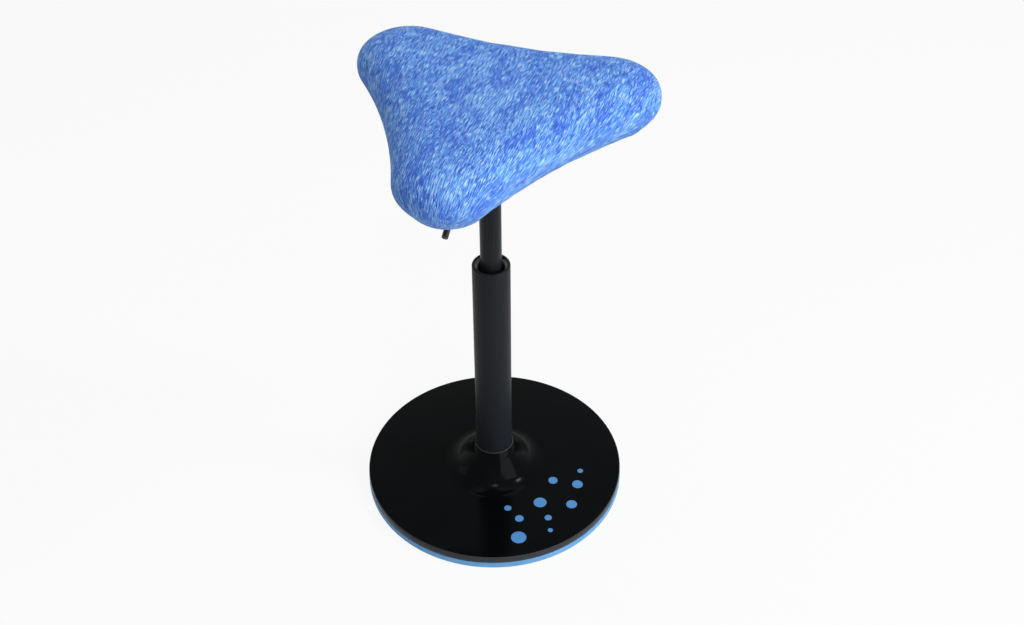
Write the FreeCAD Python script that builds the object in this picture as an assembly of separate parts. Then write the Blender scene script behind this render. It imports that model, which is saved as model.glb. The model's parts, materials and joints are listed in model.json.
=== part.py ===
import FreeCAD, Part
import math
import os

# Perch stool: a weighted disc base, a telescopic gas-spring column and a three-lobed padded seat.
# Millimetres, +Z up. The origin is the middle of the base where it meets the floor.
# The front lobe of the seat and the height lever point to -Y.

V = FreeCAD.Vector
UP = V(0, 0, 1)

# Driving dimensions of the base
ring_r = 180.0
ring_height = 9.5
ring_inner_r = 158.0
plate_bottom = 4.0
plate_top = 12.0
plate_r = 170.0
tongue_r = 176.0
tongue_top = 7.0
cover_r = 179.5
cover_top = 20.4
cover_wall = 2.6
skirt_gap = 0.8
neck_r = 26.8
neck_top = 65.0
neck_foot_r = 66.0
rib_count = 9
rib_thickness = 2.0
boss_count = 3
boss_pitch_r = 122.0
boss_r = 5.0

# Driving dimensions of the column
tube_r = 25.0
tube_wall = 1.5
tube_bottom = 13.0
tube_top = 384.4
tube_mouth_r = 21.2
tube_taper_top = 46.0
tube_taper = 1.4
cylinder_r = 14.0
cylinder_wall = 1.7
cylinder_bottom = 200.0
cylinder_top = 560.0
cone_start = 522.0
cone_drop = 0.7
rod_r = 5.0
rod_top = 366.0
shoulder_z = 24.0
running_gap = 0.06
guide_length = 82.0

# Driving dimensions of the seat mechanism
hub_r = 19.0
hub_bottom = 516.0
dish_floor = 556.0
dish_r = 30.5
seat_plate_top = 580.0
seat_plate_r = 74.0
seat_plate_thickness = 4.0
bolt_circle_r = 60.0
pin_top = 566.0
pivot_y = -25.0
pivot_z = 569.2
pivot_r = 2.0
lever_r = 3.0
sleeve_r = 3.9
lever_reach = 165.0
lever_end_z = 548.0
lever_slope = 4.0
tip_slope = 30.0

# Driving dimensions of the cushion: a three-lobed outline of tangent arcs
lobe_reach = 215.0
waist = 125.2
lobe_r = 66.0
board_bottom = 580.0
board_top = 592.0
board_inset = 25.0
cover_underside = 578.4
fabric = 1.6
cushion_widest = 611.0
cushion_crown = 652.0
tuck = 22.0
edge_power = 3.2
cover_lap = 22.0


def pos(r, degrees, z):
    """A point given by its distance from the axis, its bearing and its height."""
    a = math.radians(degrees)
    return V(r * math.cos(a), r * math.sin(a), z)


def profile(start, *steps):
    """Closed wire in the XZ plane. A step is an end point, or a mid point and an end point of an arc."""
    def place(p):
        return V(p[0], 0, p[1])
    edges = []
    here = start
    for step in steps:
        if isinstance(step[0], tuple):
            middle, end = step
            edges.append(Part.Arc(place(here), place(middle), place(end)).toShape())
        else:
            end = step
            edges.append(Part.LineSegment(place(here), place(end)).toShape())
        here = end
    if here != start:
        edges.append(Part.LineSegment(place(here), place(start)).toShape())
    return Part.Wire(edges)


def turned(start, *steps):
    """A solid of revolution about the column's axis, from a profile of radius and height."""
    return Part.Face(profile(start, *steps)).revolve(V(0, 0, 0), UP, 360)


def disc(r, bottom, top, x=0.0, y=0.0):
    return Part.makeCylinder(r, top - bottom, V(x, y, bottom))


def washer(outer, inner, bottom, top):
    return disc(outer, bottom, top).cut(disc(inner, bottom, top))


def ring_of(solid, count, first=0.0):
    """Copies of a solid, evenly turned about the column's axis."""
    copies = []
    for i in range(count):
        copy = solid.copy()
        copy.rotate(V(0, 0, 0), UP, first + i * 360.0 / count)
        copies.append(copy)
    return copies


def lobed_wire(inset, z):
    """The seat's outline at one height, drawn in by an inset: three lobe arcs and three waist arcs."""
    reach = lobe_reach - inset
    side = waist - inset
    tip_r = lobe_r - inset
    d = reach - tip_r
    side_r = (d * d + side * side - d * side - tip_r * tip_r) / (2 * tip_r + d - 2 * side)
    share = tip_r / (tip_r + side_r)
    edges = []
    for lobe in (-90, 30, 150):
        tip = pos(reach, lobe, z)
        tip_centre = pos(d, lobe, z)
        before = pos(side + side_r, lobe - 60, z)
        after = pos(side + side_r, lobe + 60, z)
        start = tip_centre + (before - tip_centre) * share
        end = tip_centre + (after - tip_centre) * share
        edges.append(Part.Arc(start, tip, end).toShape())
        next_centre = pos(d, lobe + 120, z)
        next_start = next_centre + (after - next_centre) * share
        edges.append(Part.Arc(end, pos(side, lobe + 60, z), next_start).toShape())
    return Part.Wire(edges)


def lobed_slab(inset, bottom, top):
    return Part.Face(lobed_wire(inset, bottom)).extrude(V(0, 0, top - bottom))


def cushion_skin(bottom, wall):
    """Faces of the cushion's side and crown. Wall is how far inside the fabric's outer face they lie.

    The side tucks in below the widest height and rolls over above it, where the height follows a
    superellipse of the distance from the edge. The crown is one face that swells to the middle.
    """
    sections = []
    for degrees in (0, 32, 62, 90):
        low = 1 - math.sin(math.radians(degrees))
        sections.append(lobed_wire(wall + tuck * low ** 1.5, cushion_widest - (cushion_widest - bottom) * low))
    rise = cushion_crown - wall - cushion_widest
    half_width = waist - wall
    power = 2 / edge_power
    for degrees in (22, 40, 60):
        a = math.radians(degrees)
        inset = half_width * (1 - math.cos(a) ** power)
        sections.append(lobed_wire(wall + inset, cushion_widest + rise * math.sin(a) ** power))
    crown = Part.makeFilledFace(sections[-1].Edges + [Part.Vertex(0, 0, cushion_crown - wall)])
    return Part.makeLoft(sections, False, True).Faces + [crown]


def closed(faces):
    """A solid sewn from the faces that enclose it."""
    shell = Part.makeShell(faces)
    shell.sewShape()
    solid = Part.Solid(shell.Shells[0])
    if solid.Volume < 0:
        solid.reverse()
    solid.fix(0.001, 0.001, 0.001)
    return solid


# Base

def make_foot_ring():
    """Rubber ring of L section, with a groove that grips the ballast plate's tongue."""
    return turned(
        (ring_inner_r, 0), (ring_r - 2.0, 0), (ring_r, 2.0), (ring_r, ring_height - 1.0),
        (ring_r - 1.0, ring_height), (plate_r, ring_height), (plate_r, tongue_top), (tongue_r, tongue_top),
        (tongue_r, plate_bottom), (ring_inner_r, plate_bottom))


socket_screw_r = 36.0
socket_screw_count = 3
socket_flange_top = 17.0
access_r = 23.0


def make_base_plate():
    """Steel ballast disc with a stepped rim for the rubber ring and countersunk screw holes."""
    plate = turned(
        (access_r, plate_bottom), (tongue_r, plate_bottom), (tongue_r, tongue_top),
        (plate_r, tongue_top), (plate_r, plate_top), (access_r, plate_top))
    return plate.cut(cover_screw_set() + socket_screw_set())


def screw_shape(pitch_r, shank_r, head_r, end):
    """A countersunk screw standing head down in the plate's underside."""
    shape = turned((0, plate_bottom), (head_r, plate_bottom), (shank_r, plate_bottom + head_r - shank_r),
                   (shank_r, end), (0, end))
    shape.translate(V(pitch_r, 0, 0))
    return shape


def cover_screw_set():
    return ring_of(screw_shape(boss_pitch_r, 1.8, 3.6, 16.5), boss_count, 90)


def socket_screw_set():
    return ring_of(screw_shape(socket_screw_r, 3.0, 6.0, socket_flange_top), socket_screw_count, 30)


def with_recess(screw, pitch_r, across, depth):
    """The screw with a hexagon recess in its head."""
    corners = [pos(across, i * 60, plate_bottom) + V(pitch_r, 0, 0) for i in range(7)]
    return screw.cut(Part.Face(Part.makePolygon(corners)).extrude(V(0, 0, depth)))


def make_cover_screws():
    screw = with_recess(screw_shape(boss_pitch_r, 1.8, 3.6, 16.5), boss_pitch_r, 1.5, 1.4)
    return Part.makeCompound(ring_of(screw, boss_count, 90))


def make_socket_screws():
    screw = screw_shape(socket_screw_r, 3.0, 6.0, socket_flange_top)
    screw = with_recess(screw, socket_screw_r, 2.4, 2.0)
    return Part.makeCompound(ring_of(screw, socket_screw_count, 30))


def trumpet(inset, degrees):
    """A point of the cover's flare, a quarter ellipse from the neck's foot down to the disc."""
    top = neck_top - 3
    wide = neck_foot_r - neck_r + inset
    tall = top - cover_top + inset
    a = math.radians(degrees)
    return neck_foot_r - wide * math.cos(a), top - tall * math.sin(a)


def make_base_cover():
    """Moulded disc cover drawn up into a trumpet neck, ribbed and bossed on its underside."""
    skirt_r = cover_r - cover_wall - 0.3
    bottom = ring_height + skirt_gap
    inner_r = neck_r - 1.3
    under = cover_top - cover_wall
    flare = [trumpet(0, degrees) for degrees in (90, 68, 46, 23, 0)]
    inner_flare = [trumpet(cover_wall, degrees) for degrees in (22, 52, 90)]
    shell = turned(
        (skirt_r, bottom), (cover_r, bottom), (cover_r, cover_top - 1.2), (cover_r - 1.2, cover_top),
        *flare, (neck_r, neck_top), (inner_r, neck_top), *inner_flare, (skirt_r, under))
    rib_inner = neck_foot_r + 2
    rib = Part.makeBox(skirt_r - rib_inner + 1, rib_thickness, under + 1 - plate_top,
                       V(rib_inner, -rib_thickness / 2, plate_top))
    boss = disc(boss_r, plate_top, under + 1, boss_pitch_r)
    cover = shell.fuse(ring_of(rib, rib_count, 90) + ring_of(boss, boss_count, 90)).removeSplitter()
    return cover.cut(cover_screw_set())


def tube_outer(z):
    """Radius of the column tube, which tapers where it sits in the base socket."""
    if z >= tube_taper_top:
        return tube_r
    return tube_r - tube_taper * (tube_taper_top - z) / (tube_taper_top - tube_bottom)


def make_column_socket():
    """Flanged steel socket that grips the tube's tapered foot."""
    top = 42.0
    socket = turned(
        (tube_outer(tube_bottom), plate_top), (44, plate_top), (44, socket_flange_top),
        (28, socket_flange_top), (28, top), (tube_outer(top), top), (tube_outer(tube_bottom), tube_bottom))
    return socket.cut(socket_screw_set())


def make_bottom_cap():
    """Plastic plug that closes the plate's middle hole from below."""
    return turned((0, 2.6), (26, 2.6), (26, plate_bottom), (access_r, plate_bottom), (access_r, 6.5), (0, 6.5))


# Column

def make_column_tube():
    """Outer tube with a tapered foot, a rolled-in rim and the swage line under it."""
    wall = tube_wall
    roll = 2.5
    groove = tube_top - 5.8
    low = tube_outer(tube_bottom)
    return turned(
        (low - wall, tube_bottom), (low, tube_bottom), (tube_r, tube_taper_top),
        (tube_r, groove - 0.7), (tube_r - 0.5, groove), (tube_r, groove + 0.7),
        (tube_r, tube_top - roll), (tube_r - 0.3 * roll, tube_top - 0.3 * roll), (tube_r - roll, tube_top),
        (tube_mouth_r, tube_top), (tube_mouth_r, tube_top - wall), (tube_r - wall, tube_top - wall),
        (tube_r - wall, tube_taper_top))


def tube_inner(z):
    return tube_outer(z) - tube_wall


end_plate_top = tube_bottom + 3


def make_tube_end_plate():
    return turned((4.4, tube_bottom), (tube_inner(tube_bottom), tube_bottom),
                  (tube_inner(end_plate_top), end_plate_top), (4.4, end_plate_top))


def make_guide_bush():
    """Moulded bush that guides the cylinder: a slim sleeve with two lands and a funnel at its mouth."""
    top = tube_top - tube_wall
    bottom = top - guide_length
    bore = cylinder_r + running_gap
    land_r = tube_r - tube_wall
    waist_r = 18.0
    return turned(
        (bore, bottom), (land_r, bottom), (land_r, bottom + 8), (waist_r, bottom + 13),
        (waist_r, top - 23), (land_r, top - 18), (land_r, top), (tube_mouth_r, top), (bore, top - 6.4))


race_r = 10.5
ball_r = 1.9
ball_pitch_r = 7.6
ball_count = 6
ball_z = 20.0


def make_lower_race():
    return washer(race_r, 4.4, end_plate_top, 18.0)


def make_upper_race():
    return washer(race_r, 4.0, 22.0, shoulder_z)


def make_bearing_balls():
    """Steel balls, each cut to eighteen flat sides to keep the small parts light."""
    centre = V(ball_pitch_r, 0, ball_z)
    block = Part.makeBox(2 * ball_r, 2 * ball_r, 2 * ball_r, centre - V(ball_r, ball_r, ball_r))
    ball = block.copy()
    for axis in (V(1, 0, 0), V(0, 1, 0), UP):
        turned_block = block.copy()
        turned_block.rotate(centre, axis, 45)
        ball = ball.common(turned_block)
    return Part.makeCompound(ring_of(ball, ball_count))


def make_ball_cage():
    cage = washer(race_r - 0.4, 4.6, ball_z - 1, ball_z + 1)
    return cage.cut(ring_of(disc(ball_r + 0.15, ball_z - 2, ball_z + 2, ball_pitch_r), ball_count))


def make_piston_rod():
    """Rod fixed to the bottom of the column. It is stepped for the bearing and grooved for its clip."""
    return turned(
        (0, 7.0), (4.0, 7.0), (4.0, 9.4), (3.0, 9.4), (3.0, 10.4), (4.0, 10.4),
        (4.0, shoulder_z), (rod_r, shoulder_z), (rod_r, rod_top), (3.0, rod_top), (3.0, rod_top + 14),
        (4.6, rod_top + 14), (4.0, rod_top + 16), (0, rod_top + 16))


def make_clip_washer():
    return washer(9.0, 4.0, 10.4, tube_bottom - 0.3)


def make_retaining_clip():
    """Snap ring in the rod's groove, open at one side."""
    clip = washer(6.8, 3.0, 9.5, 10.4)
    return clip.cut(Part.makeBox(8, 4.4, 2, V(0, -2.2, 9)))


def make_rubber_buffer():
    """Cone-shaped stop on the rod, which cushions the cylinder at its lowest height."""
    low = shoulder_z
    return turned((rod_r, low), (11, low), (11, low + 10), (8, low + 20), (rod_r, low + 20))


def make_piston():
    """Spool-shaped piston with a groove for its seal."""
    seal_low = rod_top + 5
    return turned(
        (3.0, rod_top), (12.0, rod_top), (12.0, seal_low), (9.8, seal_low), (9.8, seal_low + 4),
        (12.0, seal_low + 4), (12.0, rod_top + 14), (3.0, rod_top + 14))


def make_piston_seal():
    return washer(12.2, 9.8, rod_top + 5, rod_top + 9)


# Gas cylinder

bore_r = cylinder_r - cylinder_wall


def cone_r(z):
    """Radius of the cylinder's tapered head, shared with the hub's bore."""
    return cylinder_r - cone_drop * (z - cone_start) / (cylinder_top - cone_start)


def make_gas_cylinder():
    """Pressure cylinder, closed in at its foot and tapered at its head."""
    lip = 3.0
    mouth_r = 8.0
    foot = cylinder_bottom
    return turned(
        (mouth_r, foot), (cylinder_r - 1.5, foot), (cylinder_r, foot + 1.5), (cylinder_r, cone_start),
        (cone_r(cylinder_top), cylinder_top), (4.0, cylinder_top), (4.0, cylinder_top - lip),
        (bore_r, cylinder_top - lip), (bore_r, foot + lip), (mouth_r, foot + lip))


def make_rod_guide():
    return washer(bore_r, rod_r + running_gap, cylinder_bottom + 3, cylinder_bottom + 20)


def make_rod_seal():
    low = cylinder_bottom + 20
    return washer(bore_r, rod_r + 0.1, low, low + 6)


pin_r = 2.5
pin_bottom = 530.0
valve_bottom = 515.0


def make_valve_body():
    """Valve block in the cylinder's head, with the blind way of its pin."""
    top = cylinder_top - 3
    way = pin_r + running_gap
    return turned((0, valve_bottom), (bore_r, valve_bottom), (bore_r, top), (way, top),
                  (way, pin_bottom - 6), (0, pin_bottom - 6))


def make_release_pin():
    return turned((0, pin_bottom), (pin_r, pin_bottom), (pin_r, pin_top - 1),
                  (pin_r - 1, pin_top), (0, pin_top))


# Seat mechanism

def make_taper_hub():
    """Steel socket welded into the seat plate, bored to the cylinder's taper."""
    top = dish_floor
    neck = hub_r - 1.5
    return turned(
        (cylinder_r, hub_bottom), (hub_r, hub_bottom), (hub_r, top - 3), (neck, top - 3), (neck, top),
        (cone_r(top), top), (cylinder_r, cone_start))


slot_half_width = 6.0


def make_seat_plate():
    """Pressed plate: a flat flange, a round dish for the lever works and three stiffening beads."""
    t = 3.0
    flange = seat_plate_top - seat_plate_thickness
    plate = turned(
        (hub_r - 1.5, dish_floor - t), (dish_r + 2.0, dish_floor - t), (dish_r + 4.0, dish_floor - 1),
        (dish_r + 6.0, flange), (seat_plate_r, flange), (seat_plate_r, seat_plate_top),
        (dish_r + 1.8, seat_plate_top), (dish_r, dish_floor), (hub_r - 1.5, dish_floor))
    slot = Part.makeBox(2 * slot_half_width, 16, 11.0, V(-slot_half_width, -dish_r - 13, pivot_z - 6.5))
    holes = ring_of(disc(bolt_hole_r, flange - 1, seat_plate_top + 1, bolt_circle_r), bolt_count, -30)
    outline = [(-5, 0), (-2.5, -2), (2.5, -2), (5, 0), (-5, 0)]
    section = Part.makePolygon([V(dish_r + 11, y, flange + z) for y, z in outline])
    bead = Part.Face(section).extrude(V(26, 0, 0))
    return plate.cut([slot] + holes).fuse(ring_of(bead, 3, 30)).removeSplitter()


ear_thickness = 2.0
ear_gap = 11.0


def make_lever_bracket():
    """Folded bracket in the dish: a strap with two ears that carry the lever's pivot."""
    near = -17.2
    far = -29.6
    half = ear_gap / 2
    strap = Part.makeBox(ear_gap + 2 * ear_thickness, near - far, ear_thickness,
                         V(-half - ear_thickness, far, dish_floor))
    pieces = []
    for x in (-half - ear_thickness, half):
        ear = Part.makeBox(ear_thickness, near - far, pivot_z - dish_floor, V(x, far, dish_floor))
        round_r = 4.6
        top = Part.makeCylinder(round_r, ear_thickness, V(x, pivot_y, pivot_z), V(1, 0, 0))
        ear = ear.common(Part.makeBox(ear_thickness, 2 * round_r, 40, V(x, pivot_y - round_r, dish_floor)))
        pieces += [ear, top]
    bracket = strap.fuse(pieces).removeSplitter()
    round_dish = disc(dish_r - 0.2, dish_floor, seat_plate_top)
    return bracket.common(round_dish).cut(pivot_solid(pivot_r, ear_gap + 6))


def pivot_solid(r, length):
    return Part.makeCylinder(r, length, V(-length / 2, pivot_y, pivot_z), V(1, 0, 0))


def make_lever_pivot():
    half = ear_gap / 2 + ear_thickness
    pin = pivot_solid(pivot_r, 2 * half + 1.6)
    head = Part.makeCylinder(3.2, 1.2, V(half, pivot_y, pivot_z), V(1, 0, 0))
    return pin.fuse(head).removeSplitter()


def lever_path():
    """Middle line of the lever's rod: out under the seat, then down to its tip."""
    flat = math.tan(math.radians(lever_slope))
    steep = math.tan(math.radians(tip_slope))
    start = V(0, pivot_y - 6, pivot_z - 6 * flat)
    knee = (lever_end_z - pivot_z + flat * pivot_y + steep * lever_reach) / (steep - flat)
    knee_z = pivot_z - flat * (knee + pivot_y)
    return start, V(0, -knee, knee_z), V(0, -lever_reach, lever_end_z)


def rod_along(points, r, radius):
    """A round rod through three points, with one bend of the given radius."""
    a, b, c = points
    u = (a - b).normalize()
    w = (c - b).normalize()
    half = u.getAngle(w) / 2
    cut_back = radius / math.tan(half)
    p = b + u * cut_back
    q = b + w * cut_back
    centre = b + (u + w).normalize() * (radius / math.sin(half))
    middle = centre + (b - centre).normalize() * radius
    path = Part.Wire([Part.LineSegment(a, p).toShape(), Part.Arc(p, middle, q).toShape(),
                      Part.LineSegment(q, c).toShape()])
    section = Part.Wire(Part.makeCircle(r, a, b - a))
    return path.makePipeShell([section], True, False)


def make_lever_rod():
    """Height lever: a flat rocker over the release pin, drawn out into a bent round rod."""
    start, knee, tip = lever_path()
    u = (tip - knee).normalize()
    rod = rod_along((start, knee, tip - u * 2.0), lever_r, 24.0)
    half = 5.0
    under = pin_top + 0.25
    nose = profile(
        (4.5, under + 1.5), (pivot_y, under), (pivot_y - 4, under), (pivot_y - 9, pivot_z - 3.2),
        (pivot_y - 9, pivot_z + 2.6), (pivot_y, pivot_z + 3.4), (2.5, pivot_z + 2.2), (4.5, pivot_z + 1.0))
    rocker = Part.Face(nose).extrude(V(0, 2 * half, 0))
    rocker.rotate(V(0, 0, 0), UP, 90)
    rocker.translate(V(half, 0, 0))
    body = rocker.fuse(rod).removeSplitter()
    return body.cut(pivot_solid(pivot_r + running_gap, 30))


def make_lever_sleeve():
    """Plastic sleeve over the lever's outer end."""
    knee, tip = lever_path()[1:]
    u = (knee - tip).normalize()
    length = 21.0
    wall = 2.0
    nose = Part.makeCone(sleeve_r - 0.7, sleeve_r, 0.7, tip, u)
    body = Part.makeCylinder(sleeve_r, length - 0.7, tip + u * 0.7, u)
    return nose.fuse(body).cut(Part.makeCylinder(lever_r, length, tip + u * wall, u))


# Seat

bolt_r = 3.0
bolt_hole_r = 3.3
bolt_count = 3


def make_seat_board():
    """Plywood seat board with counterbored holes for its threaded inserts."""
    board = lobed_slab(board_inset, board_bottom, board_top)
    barrel = disc(insert_r, board_bottom - 1, board_top + 1, bolt_circle_r)
    recess = disc(insert_flange_r, board_top - insert_flange, board_top + 1, bolt_circle_r)
    return board.cut(ring_of(barrel, bolt_count, -30) + ring_of(recess, bolt_count, -30))


insert_r = 4.2
insert_flange_r = 9.5
insert_flange = 1.4


def make_threaded_inserts():
    insert = disc(insert_r, board_bottom + 2, board_top, bolt_circle_r).fuse(
        disc(insert_flange_r, board_top - insert_flange, board_top, bolt_circle_r)).removeSplitter()
    insert = insert.cut(disc(bolt_r, board_bottom, board_top + 1, bolt_circle_r))
    return Part.makeCompound(ring_of(insert, bolt_count, -30))


washer_thickness = 1.6


def make_seat_washers():
    under = seat_plate_top - seat_plate_thickness
    ring = disc(8.0, under - washer_thickness, under, bolt_circle_r).cut(
        disc(bolt_hole_r, under - 3, under + 1, bolt_circle_r))
    return Part.makeCompound(ring_of(ring, bolt_count, -30))


def make_seat_bolts():
    """Hexagon bolts, up through the plate into the inserts."""
    seat = seat_plate_top - seat_plate_thickness - washer_thickness
    corners = [pos(5.8, i * 60, seat - 4.0) for i in range(7)]
    head = Part.Face(Part.makePolygon(corners)).extrude(V(0, 0, 4.0))
    bolt = head.fuse(disc(bolt_r, seat, board_top - 2)).removeSplitter()
    bolt.translate(V(bolt_circle_r, 0, 0))
    return Part.makeCompound(ring_of(bolt, bolt_count, -30))


def make_seat_foam():
    """Moulded foam pad that sits on the board and laps its edge."""
    pad = closed(cushion_skin(board_bottom, fabric) + [Part.Face(lobed_wire(tuck + fabric, board_bottom))])
    return pad.cut(lobed_slab(board_inset, board_bottom, board_top))


def make_seat_cover():
    """Knitted cover, drawn over the foam and turned in under the board."""
    mouth = board_inset + cover_lap
    low_mouth = lobed_wire(mouth, cover_underside)
    faces = cushion_skin(cover_underside, 0.0) + cushion_skin(board_bottom, fabric)
    faces.append(Part.Face([lobed_wire(tuck, cover_underside), low_mouth]))
    faces.append(Part.Face([lobed_wire(tuck + fabric, board_bottom), lobed_wire(mouth, board_bottom)]))
    faces += low_mouth.extrude(V(0, 0, board_bottom - cover_underside)).Faces
    return closed(faces)


def make_dust_cover():
    """Black fleece under the seat, trimmed round the seat plate."""
    thickness = 0.8
    sheet = lobed_slab(board_inset + 9, cover_underside - thickness, cover_underside)
    return sheet.cut(disc(seat_plate_r + 2, cover_underside - 2, cover_underside + 1))


nodes = {
    "foot_ring": make_foot_ring(),
    "base_plate": make_base_plate(),
    "base_cover": make_base_cover(),
    "cover_screws": make_cover_screws(),
    "column_socket": make_column_socket(),
    "socket_screws": make_socket_screws(),
    "bottom_cap": make_bottom_cap(),
    "column_tube": make_column_tube(),
    "tube_end_plate": make_tube_end_plate(),
    "guide_bush": make_guide_bush(),
    "lower_race": make_lower_race(),
    "bearing_balls": make_bearing_balls(),
    "ball_cage": make_ball_cage(),
    "upper_race": make_upper_race(),
    "piston_rod": make_piston_rod(),
    "clip_washer": make_clip_washer(),
    "retaining_clip": make_retaining_clip(),
    "rubber_buffer": make_rubber_buffer(),
    "piston": make_piston(),
    "piston_seal": make_piston_seal(),
    "gas_cylinder": make_gas_cylinder(),
    "rod_guide": make_rod_guide(),
    "rod_seal": make_rod_seal(),
    "valve_body": make_valve_body(),
    "release_pin": make_release_pin(),
    "taper_hub": make_taper_hub(),
    "seat_plate": make_seat_plate(),
    "lever_bracket": make_lever_bracket(),
    "lever_pivot": make_lever_pivot(),
    "lever_rod": make_lever_rod(),
    "lever_sleeve": make_lever_sleeve(),
    "seat_board": make_seat_board(),
    "threaded_inserts": make_threaded_inserts(),
    "seat_washers": make_seat_washers(),
    "seat_bolts": make_seat_bolts(),
    "seat_foam": make_seat_foam(),
    "seat_cover": make_seat_cover(),
    "dust_cover": make_dust_cover(),
}

os.makedirs("parts", exist_ok=True)
for name, shape in nodes.items():
    shape.exportStep("parts/" + name + ".step")
    print(name, len(shape.Solids), "solid(s), valid", shape.isValid(), "volume", round(shape.Volume))
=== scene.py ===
# %% [markdown]
# # Perch stool
# A perch stool has three things to show: a padded seat in a melange knit, a black telescopic column, and a
# moulded black disc on a light-blue rubber ring. The lesson starts from the stool's construction, which is
# already packed. It gives each visible piece a smooth surface and a finish of its own.

# %% Load the construction
import json
import math
import bmesh
import bpy
import numpy as np
from mathutils import Matrix, Vector
from mathutils.kdtree import KDTree


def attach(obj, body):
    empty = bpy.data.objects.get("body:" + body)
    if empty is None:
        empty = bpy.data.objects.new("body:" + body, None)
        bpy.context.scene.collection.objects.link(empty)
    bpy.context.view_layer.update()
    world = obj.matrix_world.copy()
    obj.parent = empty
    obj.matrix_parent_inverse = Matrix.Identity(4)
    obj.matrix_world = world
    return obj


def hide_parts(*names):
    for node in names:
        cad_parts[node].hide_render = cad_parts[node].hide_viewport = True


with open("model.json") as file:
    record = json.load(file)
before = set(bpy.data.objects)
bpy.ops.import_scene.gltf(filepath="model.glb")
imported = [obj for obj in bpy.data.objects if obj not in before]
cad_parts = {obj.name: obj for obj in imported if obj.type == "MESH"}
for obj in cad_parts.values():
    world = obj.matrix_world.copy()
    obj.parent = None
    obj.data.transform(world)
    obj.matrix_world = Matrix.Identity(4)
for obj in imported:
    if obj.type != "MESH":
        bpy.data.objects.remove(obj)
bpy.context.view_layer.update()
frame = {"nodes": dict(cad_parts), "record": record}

nodes = frame["nodes"]

# %% [markdown]
# ## Sizes
# The numbers are in millimetres. Blender works in metres, so one factor turns them into scene units. Keeping
# them at the top means that a profile further down reads like a drawing. They are those of the construction, but
# for the trumpet's slope and the seat's waist and tucked side, which a closer look at the photo changed a little.

# %% Sizes of the base and the column, in millimetres
MM = 0.001
RING_R, RING_HEIGHT, RING_INNER_R = 180.0, 9.5, 158.0
PLATE_R, TONGUE_R, TONGUE_TOP, PLATE_BOTTOM = 170.0, 176.0, 7.0, 4.0
COVER_R, COVER_TOP, COVER_WALL, COVER_BOTTOM = 179.5, 20.4, 2.6, 10.3
NECK_R, NECK_TOP = 26.8, 65.0
SLOPE_R, SLOPE_Z, FOOT_R = 35.0, 46.0, 59.0
TUBE_R, TUBE_WALL, TUBE_BOTTOM, TUBE_TOP = 25.0, 1.5, 13.0, 384.4
CYLINDER_R, CYLINDER_BOTTOM, CYLINDER_TOP = 14.0, 200.0, 560.0

# %% Sizes of the seat, in millimetres
LOBE_REACH, WAIST, LOBE_R = 214.5, 129.0, 66.0
WIDEST, CROWN, TUCK, EDGE_POWER = 611.0, 652.0, 24.0, 3.2
UNDERSIDE, BOARD_BOTTOM, BOARD_TOP, BOARD_INSET = 578.4, 580.0, 592.0, 25.0
MOUTH_INSET, SEAT_PLATE_R = 47.0, 74.0

# %% [markdown]
# ## Shader maths in plain sums
# A finish is a small sum: a base value, plus a bit of noise, minus some wear. Writing it as a sum is easier to
# read than a list of nodes and links. The class below wraps a node's output so that `1 - mask` or
# `grain * 0.2 + 0.4` adds the Math nodes. Every other node comes from one method, `node`, which takes the
# node's type, its settings and what goes into its sockets. A material and the world both have such a tree.

# %% A socket that takes part in sums
class Wire:
    """An output of a shader node, usable in Python sums."""

    def __init__(self, nodes_of, socket):
        self.nodes_of = nodes_of
        self.socket = socket

    def maths(self, operation, *others):
        return self.nodes_of.node("ShaderNodeMath", {"operation": operation}, (self, *others))

    def __add__(self, other):
        return self.maths("ADD", other)

    def __sub__(self, other):
        return self.maths("SUBTRACT", other)

    def __rsub__(self, other):
        return self.nodes_of.node("ShaderNodeMath", {"operation": "SUBTRACT"}, (other, self))

    def __mul__(self, other):
        return self.maths("MULTIPLY", other)

    __radd__ = __add__
    __rmul__ = __mul__

    def wave(self):
        return self.maths("SINE")

    def between(self, low, high):
        """0 below low, 1 above high, and a smooth step from one to the other."""
        return self.nodes_of.node("ShaderNodeMapRange", {"interpolation_type": "SMOOTHSTEP"},
                                  {"Value": self, "From Min": low, "From Max": high})


# %% A node tree with one method for nodes
class Tree:
    """A node tree to which nodes are added with their settings and links."""

    def __init__(self, tree):
        self.tree = tree

    def node(self, kind, settings=None, sockets=(), output=0):
        made = self.tree.nodes.new(kind)
        for key, value in (settings or {}).items():
            setattr(made, key, value)
        pairs = sockets.items() if isinstance(sockets, dict) else enumerate(sockets)
        for which, value in pairs:
            self.feed(made.inputs[which], value)
        return Wire(self, made.outputs[output])

    def feed(self, socket, value):
        if isinstance(value, Wire):
            self.tree.links.new(value.socket, socket)
        else:
            socket.default_value = value


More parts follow.
